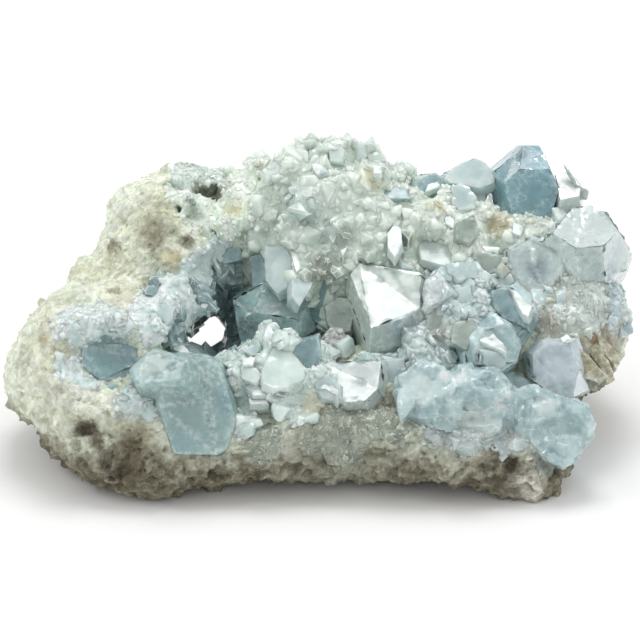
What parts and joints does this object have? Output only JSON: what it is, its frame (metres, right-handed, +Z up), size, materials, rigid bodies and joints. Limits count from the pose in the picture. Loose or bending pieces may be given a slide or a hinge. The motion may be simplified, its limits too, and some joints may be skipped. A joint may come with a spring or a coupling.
{
  "type": "celestite geode",
  "caption": "Open geode: a block of pale rock with a hollow, grown over with pale blue crystals, resting on a flat base.",
  "frame": {"origin": "middle of the width and depth, on the flat spot it rests on", "axes": "+X to the right of the piece as its hollow faces you, +Y to its back, +Z up"},
  "size_m": [0.1734, 0.0992, 0.0753],
  "materials": {
    "matrix_rock": "rough granular celestite and limestone, cream on top and grey-brown below",
    "crystal_druse": "small translucent pale green-white crystals",
    "clear_crystal": "clear pale blue crystal, glossy flat faces with veils",
    "blue_crystal": "deeper blue-grey crystal, glossy flat faces",
    "milky_crystal": "milky teal-blue crystal, satin flat faces"
  },
  "bodies": {
    "root": {"matrix": "matrix_rock", "crystal_crust": "crystal_druse", "centre_crystal": "clear_crystal", "centre_back_crystal": "clear_crystal", "cavity_crystal": "blue_crystal", "front_left_crystal": "milky_crystal", "pocket_crystal": "blue_crystal", "front_mid_crystal": "clear_crystal", "right_front_crystals": "clear_crystal", "right_centre_crystals": "clear_crystal", "right_mid_crystal": "milky_crystal", "right_end_crystals": "milky_crystal", "back_right_crystal": "blue_crystal", "back_right_flake": "clear_crystal", "back_rim_crystals": "clear_crystal"}
  },
  "joints": []
}
